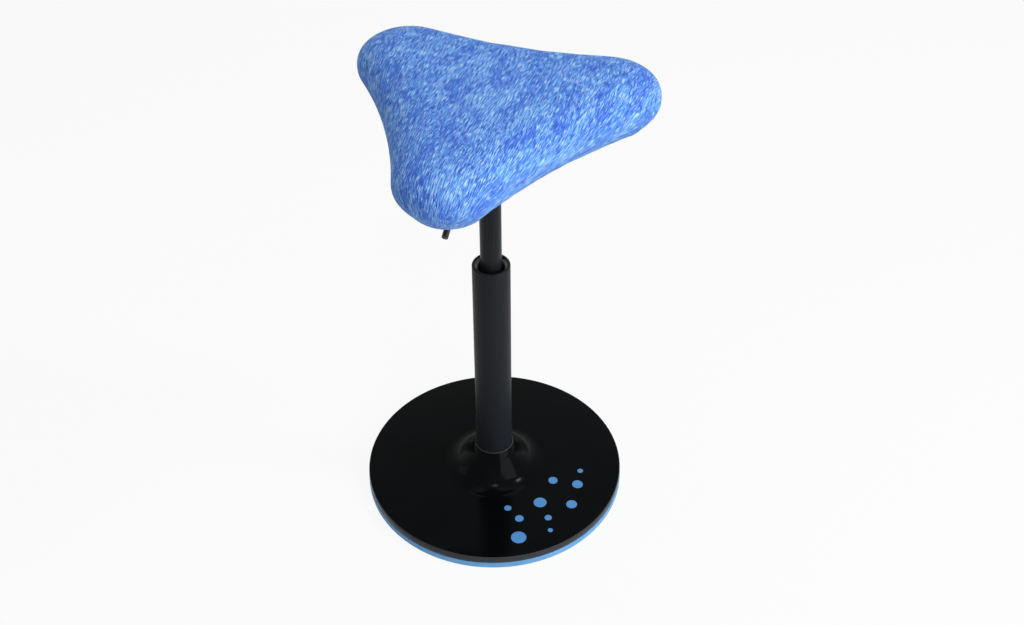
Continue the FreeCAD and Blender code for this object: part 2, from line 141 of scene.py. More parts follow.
# %% A finish
class Finish(Tree):
    """A material with a Principled shader, whose varying sockets are fed by Wires."""

    def __init__(self, name, color, roughness, **fixed):
        self.material = bpy.data.materials.new(name)
        self.material.use_nodes = True
        super().__init__(self.material.node_tree)
        self.shader = self.tree.nodes["Principled BSDF"]
        self.put("Base Color", (*color, 1.0))
        self.put("Roughness", roughness)
        for socket_name, value in fixed.items():
            self.put(socket_name.replace("_", " "), value)

    def put(self, socket_name, value):
        self.feed(self.shader.inputs[socket_name], value)

    def place(self, stretch=(1, 1, 1)):
        """Object coordinates in metres, stretched."""
        here = self.node("ShaderNodeTexCoord", output="Object")
        return self.node("ShaderNodeVectorMath", {"operation": "MULTIPLY"}, (here, stretch))

    def noise(self, where, scale, detail=2.0, roughness=0.5):
        sockets = {"Vector": where, "Scale": scale, "Detail": detail, "Roughness": roughness}
        return self.node("ShaderNodeTexNoise", None, sockets)

    def height(self):
        """The height above the floor, in metres."""
        return self.node("ShaderNodeSeparateXYZ", None, (self.place(),), output=2)

    def mix(self, factor, first, second):
        """Mixes two colours, each a plain triple or a Wire."""
        shades = [(*shade, 1.0) if isinstance(shade, tuple) else shade for shade in (first, second)]
        return self.node("ShaderNodeMix", {"data_type": "RGBA"}, {0: factor, 6: shades[0], 7: shades[1]}, output=2)

    def bump(self, height, depth, strength=1.0):
        """Surface relief of a depth in millimetres."""
        sockets = {"Height": height, "Distance": depth * MM, "Strength": strength}
        self.put("Normal", self.node("ShaderNodeBump", None, sockets))


# %% [markdown]
# ## The black moulded disc
# The disc is one injection moulding. Its tool is spark-eroded, which leaves a very fine grain and a satin
# gloss. Feet and cleaning leave faint rubbed patches, so the roughness wanders by a few hundredths. The disc's
# rim and the neck's lip get a lighter grey in thin lines: a painted highlight where the light catches their edges.

# %% Finish of the moulded disc
RIM_FROM, RIM_FULL, LIP_FROM, LIP_FULL = 0.1782, 0.1788, 0.0641, 0.0645
disc_black = Finish("moulded_disc_black", (0.0015, 0.002, 0.0023), 0.14, Specular_IOR_Level=0.035)
rubbed = disc_black.noise(disc_black.place(), 14, 4)
grain = disc_black.noise(disc_black.place(), 1500, 1)
disc_black.put("Roughness", 0.06 + rubbed * 0.1 + grain * 0.05)
flat_place = disc_black.place((1, 1, 0))
radius = disc_black.node("ShaderNodeVectorMath", {"operation": "LENGTH"}, (flat_place,), 1)
# Painted highlight: thin lighter-grey lines on the rim and the neck's lip, where the light catches the edges.
painted_highlight_lines = radius.between(RIM_FROM, RIM_FULL) + disc_black.height().between(LIP_FROM, LIP_FULL)
moulded = disc_black.mix(rubbed.between(0.35, 0.75), (0.0012, 0.0018, 0.0021), (0.0020, 0.0027, 0.0031))
disc_black.put("Base Color", disc_black.mix(painted_highlight_lines, moulded, (0.045, 0.048, 0.052)))
disc_black.bump(grain, 0.02, 0.5)
print("disc nodes", len(disc_black.tree.nodes))

# %% [markdown]
# ## Rubber ring
# The ring is soft moulded rubber: no mirror gloss, a slightly cloudy colour, and dust where it meets the floor.
# The dust is a mask on height, broken up by noise so that it doesn't end in a line.

# %% Finish of the rubber ring
ring_blue = Finish("ring_rubber_blue", (0.165, 0.402, 0.700), 0.55, Specular_IOR_Level=0.35)
cloud = ring_blue.noise(ring_blue.place(), 60, 3)
pores = ring_blue.noise(ring_blue.place(), 900, 2)
dust = (1 - (ring_blue.height() + cloud * 0.004).between(0.001, 0.0055)) * 0.35
body_color = ring_blue.mix(cloud.between(0.3, 0.7), (0.120, 0.345, 0.655), (0.150, 0.395, 0.720))
ring_blue.put("Base Color", ring_blue.mix(dust, body_color, (0.30, 0.38, 0.46)))
ring_blue.put("Roughness", 0.48 + cloud * 0.12 + dust * 0.3)
ring_blue.bump(pores, 0.05, 0.6)

# %% [markdown]
# ## Powder coat
# The outer tube and the gas cylinder are powder-coated steel. The powder melts into a skin with a very slight
# orange peel. The cylinder slides in its bush, which polishes it in long streaks, so its noise is stretched
# along Z and feeds the roughness.

# %% Finishes of the column
tube_coat = Finish("tube_powder_coat", (0.013, 0.015, 0.018), 0.42, Specular_IOR_Level=0.08)
peel = tube_coat.noise(tube_coat.place(), 700, 2)
speck = tube_coat.noise(tube_coat.place(), 2600, 1)
tube_coat.put("Base Color", tube_coat.mix(speck.between(0.45, 0.8),
                                          (0.011, 0.013, 0.016), (0.022, 0.026, 0.030)))
tube_coat.put("Roughness", 0.36 + peel * 0.14)
tube_coat.bump(peel + speck * 0.4, 0.05, 0.6)
cylinder_coat = Finish("cylinder_slid_coat", (0.012, 0.014, 0.016), 0.34, Specular_IOR_Level=0.08)
streak = cylinder_coat.noise(cylinder_coat.place((1, 1, 0.02)), 900, 3)
cylinder_coat.put("Roughness", 0.26 + streak * 0.2)
cylinder_coat.put("Base Color", cylinder_coat.mix(streak.between(0.3, 0.8),
                                                  (0.010, 0.012, 0.014), (0.018, 0.021, 0.024)))
cylinder_coat.bump(streak, 0.012, 0.5)

# %% [markdown]
# ## Plain finishes of the works
# The rest is seen from below or not at all, but each piece still has the finish of its own process: glossy or
# matt moulded plastic, rolled steel with a brushed lie, ground bearing steel, zinc plate, brass, rubber.
# They share one recipe: two shades mixed by noise, a roughness that follows it, and a shallow relief.

# %% One recipe for the works
def works_finish(name, dark, light, roughness, scale, stretch=(1, 1, 1), depth=0.02, **fixed):
    finish = Finish(name, light, roughness, **fixed)
    grain = finish.noise(finish.place(stretch), scale, 3)
    finish.put("Base Color", finish.mix(grain.between(0.3, 0.7), dark, light))
    finish.put("Roughness", grain * 0.15 + (roughness - 0.07))
    finish.bump(grain, depth, 0.6)
    return finish.material


# %% Finishes of the works
works = {
    "bush_plastic": works_finish("bush_gloss_plastic", (0.004, 0.004, 0.005), (0.007, 0.007, 0.008), 0.2, 400),
    "black_plastic": works_finish("black_moulded_plastic", (0.009, 0.009, 0.010), (0.015, 0.015, 0.016), 0.45, 900),
    "black_rubber": works_finish("black_soft_rubber", (0.012, 0.012, 0.012), (0.02, 0.02, 0.02), 0.7, 500),
    "black_steel": works_finish("black_coated_steel", (0.012, 0.012, 0.013), (0.022, 0.022, 0.024), 0.4, 700),
    "bare_steel": works_finish("rolled_steel", (0.36, 0.36, 0.37), (0.50, 0.50, 0.52), 0.38, 300,
                               (1, 0.05, 1), Metallic=1.0),
    "bearing_steel": works_finish("ground_steel", (0.55, 0.55, 0.56), (0.66, 0.66, 0.68), 0.16, 500,
                                  (1, 1, 0.1), 0.004, Metallic=1.0),
    "zinc_screws": works_finish("zinc_plate", (0.46, 0.45, 0.42), (0.62, 0.61, 0.57), 0.32, 250, Metallic=1.0),
    "brass_valve": works_finish("turned_brass", (0.50, 0.34, 0.13), (0.66, 0.46, 0.18), 0.28, 300, Metallic=1.0),
    "foam": works_finish("moulded_foam", (0.50, 0.48, 0.42), (0.68, 0.66, 0.58), 0.9, 420, (1, 1, 1), 0.4),
}

# %% [markdown]
# ## Plywood
# The board shows at its edge and round its screw holes. Plywood has a grain that runs one way on its face, and
# its edge shows the veneers as light and dark bands. Both read Object coordinates: the face grain is noise
# stretched along Y, and the bands come from the height, a veneer every two millimetres.

# %% Finish of the plywood
TWO_VENEERS = 4 * MM
ply = Finish("birch_plywood", (0.52, 0.34, 0.18), 0.6)
ply_grain = ply.noise(ply.place((1, 0.06, 1)), 260, 4)
veneer = (ply.height() * (2 * math.pi / TWO_VENEERS)).wave()
shade = ply_grain.between(0.3, 0.7) * 0.7 + veneer.between(-0.3, 0.3) * 0.3
ply.put("Base Color", ply.mix(shade, (0.40, 0.24, 0.11), (0.62, 0.43, 0.24)))
ply.put("Roughness", 0.5 + ply_grain * 0.2)
ply.bump(ply_grain, 0.08, 0.7)
works["plywood"] = ply.material
for name, piece in nodes.items():
    slot = next(part["material_slot"] for part in frame["record"]["subparts"] if part["node"] == name)
    if slot in works:
        piece.data.materials.clear()
        piece.data.materials.append(works[slot])
print("finishes for the works:", len(works))

# %% [markdown]
# ## Turned pieces
# The disc, the ring, the tube, the bush and the cylinder are all round the column's axis. A lathe makes the
# real ones, or a round tool does. Here each is a half section that `bmesh.ops.spin` carries once round the
# axis, with `use_merge` so that the last ring closes on the first. The corners of the section are then
# bevelled as whole rings, because real edges are never sharp and the highlight along them is what the eye reads.

# %% Spin a section and bevel its rings
def spun(section, steps):
    """A closed section of (radius, height) in millimetres, spun round the column's axis."""
    bm = bmesh.new()
    corners = [bm.verts.new((r * MM, 0, z * MM)) for r, z in section]
    edges = [bm.edges.new(pair) for pair in zip(corners, corners[1:] + corners[:1])]
    bmesh.ops.spin(bm, geom=corners + edges, cent=(0, 0, 0), axis=(0, 0, 1), angle=2 * math.pi,
                   steps=steps, use_merge=True)
    bmesh.ops.remove_doubles(bm, verts=bm.verts, dist=1e-6)
    bmesh.ops.recalc_face_normals(bm, faces=bm.faces)
    return bm


def round_ring(bm, r, z, radius, segments):
    """Bevels the ring of edges at a corner of the section."""
    def at_corner(vert):
        return abs(math.hypot(vert.co.x, vert.co.y) - r * MM) < 2e-5 and abs(vert.co.z - z * MM) < 2e-5
    ring = [edge for edge in bm.edges if at_corner(edge.verts[0]) and at_corner(edge.verts[1])]
    bmesh.ops.bevel(bm, geom=ring, offset=radius * MM, offset_type="OFFSET", segments=segments, profile=0.5,
                    affect="EDGES", material=-1, clamp_overlap=False)
    return len(ring)


# %% Put a bmesh into the scene
def finished(bm, name, body, material, stands_for=()):
    """Makes the object, lets it ride with its body and hides the plain pieces that it stands for."""
    mesh = bpy.data.meshes.new(name)
    bm.to_mesh(mesh)
    bm.free()
    mesh.materials.append(material)
    mesh.shade_smooth()
    piece = bpy.data.objects.new(name, mesh)
    bpy.context.scene.collection.objects.link(piece)
    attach(piece, body)
    if stands_for:
        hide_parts(*stands_for)
    mesh.calc_loop_triangles()
    print(name, len(mesh.loop_triangles), "triangles")
    return piece


# %% [markdown]
# ### Disc cover
# The cover's top is flat and its neck rises out of it like a trumpet: a steep cone with a broad round at its foot.
# In the section that is a slope with two corners, and a bevel rounds each of them. The inner wall gets its own.

# %% Disc cover with its flared neck
cover = spun([(COVER_R - 2.9, COVER_BOTTOM), (COVER_R, COVER_BOTTOM), (COVER_R, COVER_TOP),
              (FOOT_R, COVER_TOP), (SLOPE_R, SLOPE_Z), (NECK_R, NECK_TOP), (NECK_R - 1.3, NECK_TOP),
              (SLOPE_R - 2, SLOPE_Z - 1.4), (FOOT_R - 2, COVER_TOP - COVER_WALL),
              (COVER_R - 2.9, COVER_TOP - COVER_WALL)], 192)
print("foot of the trumpet", round_ring(cover, FOOT_R, COVER_TOP, 15.0, 12))
print("slope", round_ring(cover, SLOPE_R, SLOPE_Z, 9.0, 6))
print("inner foot", round_ring(cover, FOOT_R - 2, COVER_TOP - COVER_WALL, 15.0, 8))
print("rim", round_ring(cover, COVER_R, COVER_TOP, 1.1, 4))
print("skirt edge", round_ring(cover, COVER_R, COVER_BOTTOM, 0.5, 2))
print("lip", round_ring(cover, NECK_R, NECK_TOP, 0.8, 3), round_ring(cover, NECK_R - 1.3, NECK_TOP, 0.4, 2))
finished(cover, "disc_cover", "base", disc_black.material, ["base_cover"])

# %% Rubber ring that grips the ballast plate
ring = spun([(RING_INNER_R, 0), (RING_R, 0), (RING_R, RING_HEIGHT), (PLATE_R, RING_HEIGHT),
             (PLATE_R, TONGUE_TOP), (TONGUE_R, TONGUE_TOP), (TONGUE_R, PLATE_BOTTOM),
             (RING_INNER_R, PLATE_BOTTOM)], 192)
round_ring(ring, RING_R, 0, 2.0, 5)
round_ring(ring, RING_R, RING_HEIGHT, 1.2, 4)
round_ring(ring, RING_INNER_R, 0, 1.0, 3)
finished(ring, "rubber_ring", "base", ring_blue.material, ["foot_ring"])

# %% [markdown]
# ### Column
# The tube is rolled in at its top, over the bush, and a swage line runs 6 mm under the roll. The bush sinks
# from the tube's mouth to the cylinder as a glossy funnel.

# %% Outer tube with its rolled mouth and swage line
swage = TUBE_TOP - 5.8
MOUTH_R = 21.2
tube = spun([(TUBE_R - 2.9, TUBE_BOTTOM), (TUBE_R - 1.4, TUBE_BOTTOM), (TUBE_R, 46), (TUBE_R, swage - 0.9),
             (TUBE_R - 0.5, swage), (TUBE_R, swage + 0.9), (TUBE_R, TUBE_TOP), (MOUTH_R, TUBE_TOP),
             (MOUTH_R, TUBE_TOP - TUBE_WALL), (TUBE_R - TUBE_WALL, TUBE_TOP - TUBE_WALL), (TUBE_R - TUBE_WALL, 46)], 96)
round_ring(tube, TUBE_R, TUBE_TOP, 2.5, 6)
round_ring(tube, MOUTH_R, TUBE_TOP, 0.5, 3)
round_ring(tube, TUBE_R - 0.5, swage, 0.3, 2)
round_ring(tube, TUBE_R, swage + 0.9, 0.3, 2)
round_ring(tube, TUBE_R, swage - 0.9, 0.3, 2)
finished(tube, "outer_tube", "base", tube_coat.material, ["column_tube"])

# %% Guide bush with its funnel
bush_top = TUBE_TOP - TUBE_WALL
bore = CYLINDER_R + 0.06
bush = spun([(bore, bush_top - 82), (23.5, bush_top - 82), (23.5, bush_top - 74), (18, bush_top - 69),
             (18, bush_top - 23), (23.5, bush_top - 18), (23.5, bush_top), (MOUTH_R, bush_top),
             (bore + 2.4, bush_top - 4.0), (bore, bush_top - 6.4)], 96)
round_ring(bush, bore + 2.4, bush_top - 4.0, 1.5, 3)
finished(bush, "bush_funnel", "base", works["bush_plastic"], ["guide_bush"])

# %% Gas cylinder
cylinder = spun([(8, CYLINDER_BOTTOM), (CYLINDER_R, CYLINDER_BOTTOM), (CYLINDER_R, 522),
                 (CYLINDER_R - 0.7, CYLINDER_TOP), (4, CYLINDER_TOP), (4, CYLINDER_TOP - 3),
                 (CYLINDER_R - 1.7, CYLINDER_TOP - 3), (CYLINDER_R - 1.7, CYLINDER_BOTTOM + 3),
                 (8, CYLINDER_BOTTOM + 3)], 72)
round_ring(cylinder, CYLINDER_R, CYLINDER_BOTTOM, 1.5, 4)
finished(cylinder, "spring_cylinder", "seat", cylinder_coat.material, ["gas_cylinder"])

# %% [markdown]
# ## Printed dots
# Ten plain dots are pad-printed on the disc, between the front lobe and the right of the column. Ink stands a
# few hundredths of a millimetre proud. Each dot is a circle that is extruded by its ink's thickness. Its place
# is given as it was measured, on a grid that is turned by 18.47 degrees to the stool.

# %% Ink and dots
ink_blue = Finish("printed_ink_blue", (0.085, 0.29, 0.66), 0.42, Specular_IOR_Level=0.4)
ink_grain = ink_blue.noise(ink_blue.place(), 1200, 2)
ink_blue.put("Base Color", ink_blue.mix(ink_grain.between(0.3, 0.7),
                                        (0.072, 0.265, 0.63), (0.095, 0.315, 0.69)))
ink_blue.put("Roughness", 0.36 + ink_grain * 0.12)
ink_blue.bump(ink_grain, 0.01, 0.5)
GRID_TURN = math.radians(18.47)
DOTS = [(121.9, -21.7, 8), (82.3, -39.3, 13), (116.6, -47.6, 15), (62.6, -80.8, 18), (106.4, -85.2, 15),
        (17.4, -90.1, 10), (32.9, -109.7, 12), (72.8, -109.3, 10), (74.9, -132.0, 7), (31.2, -144.0, 21)]
SUNK, INK = 0.03 * MM, 0.08 * MM
dots = bmesh.new()
for x, y, diameter in DOTS:
    start = Matrix.Rotation(GRID_TURN, 4, "Z") @ Matrix.Translation((x * MM, y * MM, COVER_TOP * MM - SUNK))
    circle = bmesh.ops.create_circle(dots, cap_ends=True, radius=diameter / 2 * MM, segments=48, matrix=start)
    face = circle["verts"][0].link_faces[0]
    lid = bmesh.ops.extrude_face_region(dots, geom=[face], use_keep_orig=True)["geom"]
    bmesh.ops.translate(dots, verts=[v for v in lid if isinstance(v, bmesh.types.BMVert)], vec=(0, 0, INK))
bmesh.ops.recalc_face_normals(dots, faces=dots.faces)
printed_dots = finished(dots, "printed_dots", "base", ink_blue.material)
printed_dots.data.shade_flat()

# %% [markdown]
# ## The seat's outline
# Seen from above, the seat is three round lobes joined by three shallow waists. Every arc meets the next
# without a corner. A vertex spun about a lobe's centre draws a lobe, and the last vertex spun on about the
# waist's centre, the other way, draws the waist. An inset makes the lobe's radius smaller and the waist's
# larger, so all insets run parallel.

# %% Radii and centres of the outline
spread = LOBE_REACH - LOBE_R
WAIST_R = ((spread * spread + WAIST * WAIST - spread * WAIST - LOBE_R * LOBE_R)
           / (2 * LOBE_R + spread - 2 * WAIST))
LOBES = [math.radians(a) for a in (-90, 30, 150)]


def about(r, angle):
    return Vector((r * math.cos(angle), r * math.sin(angle), 0)) * MM


tip_centre = about(spread, LOBES[0])
before_centre = about(WAIST + WAIST_R, LOBES[0] - math.pi / 3)
join = tip_centre + (before_centre - tip_centre) * (LOBE_R / (LOBE_R + WAIST_R))
half_lobe = (join - tip_centre).angle(about(1, LOBES[0]))
half_waist = half_lobe - math.pi / 3
print("waist radius", round(WAIST_R), "mm, lobe arc", round(math.degrees(2 * half_lobe)), "degrees")


# %% Draw one closed outline
def outline(bm, inset, z, lobe_steps=26, waist_steps=26):
    """A closed ring of edges, an inset inside the seat's outline, at a height in millimetres."""
    radius = (LOBE_R - inset) * MM
    first = tip_centre + (join - tip_centre).normalized() * radius
    last = bm.verts.new((first.x, first.y, z * MM))
    ring = [last]
    for lobe in LOBES:
        for centre, turn, steps in ((about(spread, lobe), 2 * half_lobe, lobe_steps),
                                    (about(WAIST + WAIST_R, lobe + math.pi / 3), -2 * half_waist, waist_steps)):
            before = set(bm.verts)
            bmesh.ops.spin(bm, geom=[last], cent=centre, axis=(0, 0, 1), angle=turn, steps=steps)
            new = [v for v in bm.verts if v not in before]
            new.sort(key=lambda v: (v.co - last.co).length)
            ring += new
            last = new[-1]
    bmesh.ops.remove_doubles(bm, verts=ring, dist=2e-5)
    return [v for v in ring if v.is_valid]


probe = bmesh.new()
closed = outline(probe, 0, WIDEST)
print("outline", len(closed), "vertices, closed", all(len(v.link_edges) == 2 for v in closed))
probe.free()

# %% [markdown]
# ## The cushion's blank
# The pad is moulded foam under a stretched knit: a tucked-in side, a broad rolled edge and a softly crowned top.
# The blank is a stack of outlines joined by `bridge_loops`. Each outline's inset and height come from two
# curves, as in the construction. It is drawn 0.8 mm small, because the cloth step swells it.

# %% Heights and insets of the side
def section(wall, bottom, low_steps, high_steps, reach=60.0):
    """Pairs of inset and height, from the underside up to where the crown starts."""
    pairs = []
    for i in range(low_steps + 1):
        low = 1 - math.sin(math.pi / 2 * i / low_steps)
        pairs.append((wall + TUCK * low ** 1.5, WIDEST - (WIDEST - bottom) * low))
    for i in range(1, high_steps + 1):
        angle = math.radians(reach) * i / high_steps
        inset = (WAIST - wall) * (1 - math.cos(angle) ** (2 / EDGE_POWER))
        rise = (CROWN - wall - WIDEST) * math.sin(angle) ** (2 / EDGE_POWER)
        pairs.append((wall + inset, WIDEST + rise))
    return pairs


print([(round(a), round(z)) for a, z in section(0, BOARD_BOTTOM, 3, 4)])


# %% Join the outlines into a closed blank
def cushion_blank(wall):
    bm = bmesh.new()
    rings = [outline(bm, inset, z) for inset, z in section(wall, BOARD_BOTTOM, 8, 14)]
    for low, high in zip(rings, rings[1:]):
        edges = [bm.edges.get(pair) for ring in (low, high) for pair in zip(ring, ring[1:] + ring[:1])]
        bmesh.ops.bridge_loops(bm, edges=edges)
    bm.faces.new(rings[0])
    crown = bm.faces.new(rings[-1])
    middle = bmesh.ops.poke(bm, faces=[crown])["verts"][0]
    middle.co = (0, 0, (CROWN - wall) * MM)
    bmesh.ops.recalc_face_normals(bm, faces=bm.faces)
    return bm


SWELL_ROOM = 0.8
blank = cushion_blank(SWELL_ROOM)
print("blank", len(blank.verts), "vertices, open edges", sum(e.is_boundary for e in blank.edges))

# %% [markdown]
# ## Swell the knit
# A real cover is pulled over the foam and bulges where it is free. Cloth simulation gives that: the blank is
# remeshed with even 4.5 mm faces, blown up by a little pressure for twenty frames, and no point may go further
# than 2.2 mm, so the pad keeps its moulded shape.

# %% Remesh and simulate
SWELL_CAP, EVEN_FACE, PRESSURE, FRAMES = 2.2 * MM, 4.5 * MM, 4.0, 20
cushion_mesh = bpy.data.meshes.new("cushion")
blank.to_mesh(cushion_mesh)
blank.free()
cushion = bpy.data.objects.new("cushion", cushion_mesh)
bpy.context.scene.collection.objects.link(cushion)


def apply_modifiers(piece):
    """Replaces the piece's mesh by its evaluated mesh."""
    graph = bpy.context.evaluated_depsgraph_get()
    mesh = bpy.data.meshes.new_from_object(piece.evaluated_get(graph))
    piece.modifiers.clear()
    old, piece.data = piece.data, mesh
    bpy.data.meshes.remove(old)


remesh = cushion.modifiers.new("even faces", "REMESH")
remesh.mode = "VOXEL"
remesh.voxel_size = EVEN_FACE
apply_modifiers(cushion)
print("remeshed", len(cushion.data.vertices), "vertices")


def swell(piece, pressure, frames, cap):
    """Blows the piece up as cloth, with no point moved further than the cap."""
    rest = np.array([v.co for v in piece.data.vertices])
    cloth = piece.modifiers.new("knit", "CLOTH")
    cloth.settings.quality = 6
    cloth.settings.tension_stiffness = 15
    cloth.settings.compression_stiffness = 15
    cloth.settings.bending_stiffness = 2.0
    cloth.settings.use_pressure = True
    cloth.settings.uniform_pressure_force = pressure
    cloth.settings.effector_weights.gravity = 0.0
    cloth.point_cache.frame_start = 1
    cloth.point_cache.frame_end = frames
    for frame_number in range(1, frames + 1):
        bpy.context.scene.frame_set(frame_number)
    apply_modifiers(piece)
    moved = np.array([v.co for v in piece.data.vertices]) - rest
    far = np.linalg.norm(moved, axis=1, keepdims=True)
    moved *= np.minimum(1.0, cap / np.maximum(far, 1e-9))
    piece.data.vertices.foreach_set("co", (rest + moved).ravel())
    bpy.context.scene.frame_set(1)
    print("swelled by up to", round(float(far.max()) / MM, 1), "mm, kept to", cap / MM)


swell(cushion, PRESSURE, FRAMES, SWELL_CAP)

# %% [markdown]
# ## Turn the knit in under the board
# The cover goes round the foam's lower edge and is stapled flat under the board. The simulated pad is cut level
# above its underside, and the open edge is extruded: round the corner from wherever it is, in along the
# underside, up its own thickness, back out to the board, and up the board's edge to a lid. That leaves the board
# its room. The first rows are steps inward, and the later ones are fixed insets.

# %% Find the way in from any point
samples = bmesh.new()
even = outline(samples, 0, 0, 160, 160)
outline_points = [v.co.copy() for v in even]
samples.free()
outline_tree = KDTree(len(outline_points))
for i, point in enumerate(outline_points):
    outline_tree.insert(point, i)
outline_tree.balance()


def outward(point):
    """The nearest place on the seat's outline and the direction out of the seat there."""
    flat = Vector((point.x, point.y, 0))
    near, i, gap = outline_tree.find(flat)
    along = outline_points[(i + 1) % len(outline_points)] - outline_points[i - 1]
    return near, Vector((along.y, -along.x, 0)).normalized()


def placed(point, inset, z):
    near, out = outward(point)
    return (near - out * inset * MM) + Vector((0, 0, z * MM))


def inset_of(point):
    near, out = outward(point)
    return (near - Vector((point.x, point.y, 0))).dot(out) / MM


print("outward at the front lobe", [round(x, 2) for x in outward(Vector((0, -0.3, 0)))[1]])

# %% Cut the underside off and turn the edge in
CUT = 589.0
ROUND = [(1.8, 586.6), (1.8, 584.2), (1.9, 581.8), (2.3, 580.0), (3.6, 578.9), (5.0, UNDERSIDE)]
LID_INSET = BOARD_INSET - 0.4
FLAT = [(37, UNDERSIDE), (MOUTH_INSET, UNDERSIDE), (MOUTH_INSET, BOARD_BOTTOM), (LID_INSET, BOARD_BOTTOM),
        (LID_INSET, BOARD_TOP)]
pad = bmesh.new()
pad.from_mesh(cushion.data)
bmesh.ops.bisect_plane(pad, geom=pad.verts[:] + pad.edges[:] + pad.faces[:],
                       plane_co=(0, 0, CUT * MM), plane_no=(0, 0, -1), clear_outer=True)
for smoothing in range(3):
    bmesh.ops.smooth_vert(pad, verts=[v for v in pad.verts if not v.is_boundary], factor=0.5,
                          use_axis_x=True, use_axis_y=True, use_axis_z=True)
edge = [e for e in pad.edges if e.is_boundary]
for row, (inset, z) in enumerate(ROUND + FLAT):
    made = bmesh.ops.extrude_edge_only(pad, edges=edge)["geom"]
    for vert in (v for v in made if isinstance(v, bmesh.types.BMVert)):
        here = inset_of(vert.co) if row < len(ROUND) else 0.0
        vert.co = placed(vert.co, here + inset, z)
    edge = [e for e in made if isinstance(e, bmesh.types.BMEdge) and e.is_boundary]
bmesh.ops.recalc_face_normals(pad, faces=pad.faces)
pad.to_mesh(cushion.data)
pad.free()

# %% Subdivide once, then close the lid
finer = cushion.modifiers.new("finer", "SUBSURF")
finer.levels = finer.render_levels = 1
apply_modifiers(cushion)
lid = bmesh.new()
lid.from_mesh(cushion.data)
bmesh.ops.edgeloop_fill(lid, edges=[e for e in lid.edges if e.is_boundary])
bmesh.ops.recalc_face_normals(lid, faces=lid.faces)
print("pad", len(lid.verts), "vertices, open edges", sum(e.is_boundary for e in lid.edges))
lid.to_mesh(cushion.data)
lid.free()
cushion.data.shade_smooth()

# %% [markdown]
# ## Lay the knit on the pad
# The melange has a lie: short light dashes that run from the front lobe to the back, and on down the sides.
# A pattern in plain Object coordinates would smear on the steep sides. So each point gets flat cloth
# coordinates: its own X and Y on the top, and on the sides the length of cloth that it takes to get there.
# The dashes then keep their size all over. The coordinates go into a UV map, in metres.

# %% Cloth coordinates
START = 60.0
curve = [(inset, z) for inset, z in reversed(section(0, UNDERSIDE, 16, 28, 75.0)) if inset < START]
curve += [(inset, UNDERSIDE) for inset in (30.0, 40.0, 50.0)]
drawn = [START - curve[0][0]]
for (a0, z0), (a1, z1) in zip(curve, curve[1:]):
    drawn.append(drawn[-1] + math.hypot(a1 - a0, z1 - z0))
side = KDTree(len(curve) * 8)
lengths = []
for k in range(len(curve) - 1):
    for step in range(8):
        t = step / 8
        inset = curve[k][0] * (1 - t) + curve[k + 1][0] * t
        z = curve[k][1] * (1 - t) + curve[k + 1][1] * t
        side.insert((inset, z, 0), len(lengths))
        lengths.append(drawn[k] * (1 - t) + drawn[k + 1] * t)
side.balance()
print("cloth from top to mouth", round(drawn[-1]), "mm")


# %% Write them as a UV map
def cloth_place(point):
    near, out = outward(point)
    inset = inset_of(point)
    if inset >= START and point.z > WIDEST * MM:
        return point.x, point.y
    length = lengths[side.find((inset, point.z / MM, 0))[1]]
    flat = near - out * (START - length) * MM
    return flat.x, flat.y


cloth_uv = np.array([cloth_place(v.co) for v in cushion.data.vertices])
layer = cushion.data.uv_layers.new(name="knit")
corner = np.zeros(len(cushion.data.loops), int)
cushion.data.loops.foreach_get("vertex_index", corner)
layer.data.foreach_set("uv", cloth_uv[corner].ravel().astype(np.float32))
print("cloth spans", (cloth_uv.max(0) - cloth_uv.min(0)).round(3), "m")

# %% [markdown]
# ## Melange knit
# Melange yarn is dyed in uneven lengths. In this knit a violet-blue ground carries dense pale dashes, about ten
# millimetres long and one or two wide, which thin out in soft patches. Three stretched noises make the dashes, a
# slow noise makes the patches, and two sines give the relief of the stitches.

# %% Finish of the knit
WALE_PITCH, COURSE_PITCH = 1.3 * MM, 1.0 * MM
knit = Finish("melange_knit_blue", (0.07, 0.17, 0.60), 0.85, Specular_IOR_Level=0.25, Sheen_Weight=0.3,
              Sheen_Roughness=0.45, Sheen_Tint=(0.35, 0.70, 1.0, 1.0))
cloth = knit.node("ShaderNodeUVMap", {"uv_map": "knit"})


def on_cloth(stretch, turn=0.0):
    turned = knit.node("ShaderNodeVectorRotate", {"rotation_type": "Z_AXIS"},
                       {"Vector": cloth, "Angle": math.radians(turn)})
    return knit.node("ShaderNodeVectorMath", {"operation": "MULTIPLY"}, (turned, stretch))


patch = knit.noise(on_cloth((1, 0.3, 1), 6), 46, 2)
dash = knit.noise(on_cloth((1, 0.11, 1)), 680, 1.5, 0.6)
fleck = knit.noise(on_cloth((1, 0.10, 1), 3), 820, 1)
cross = knit.noise(on_cloth((0.3, 1, 1)), 620, 1)
pale = (dash + (patch - 0.5) * 0.42).between(0.47, 0.57)
bright = (fleck + (patch - 0.5) * 0.30).between(0.55, 0.63)
deep = (1 - dash).between(0.50, 0.60)
ground = knit.mix(deep, (0.052, 0.155, 0.700), (0.034, 0.104, 0.560))
with_pale = knit.mix(pale * 0.8, ground, (0.125, 0.375, 0.890))
with_cross = knit.mix(cross.between(0.58, 0.68) * 0.35, with_pale, (0.115, 0.330, 0.800))
knit.put("Base Color", knit.mix(bright * 0.75, with_cross, (0.50, 0.78, 1.0)))
knit.put("Roughness", 0.78 + pale * 0.12)
phases = on_cloth((2 * math.pi / WALE_PITCH, 2 * math.pi / COURSE_PITCH, 0))
wale, course = (knit.node("ShaderNodeSeparateXYZ", None, (phases,), output=axis).wave() for axis in (0, 1))
knit.bump(wale * 0.3 + course * 0.2 + dash * 0.8 + fleck * 0.4, 0.35, 0.7)
cushion.data.materials.clear()
cushion.data.materials.append(knit.material)
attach(cushion, "seat")
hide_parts("seat_cover", "seat_foam")
cushion.data.calc_loop_triangles()
print("cushion", len(cushion.data.loop_triangles), "triangles")

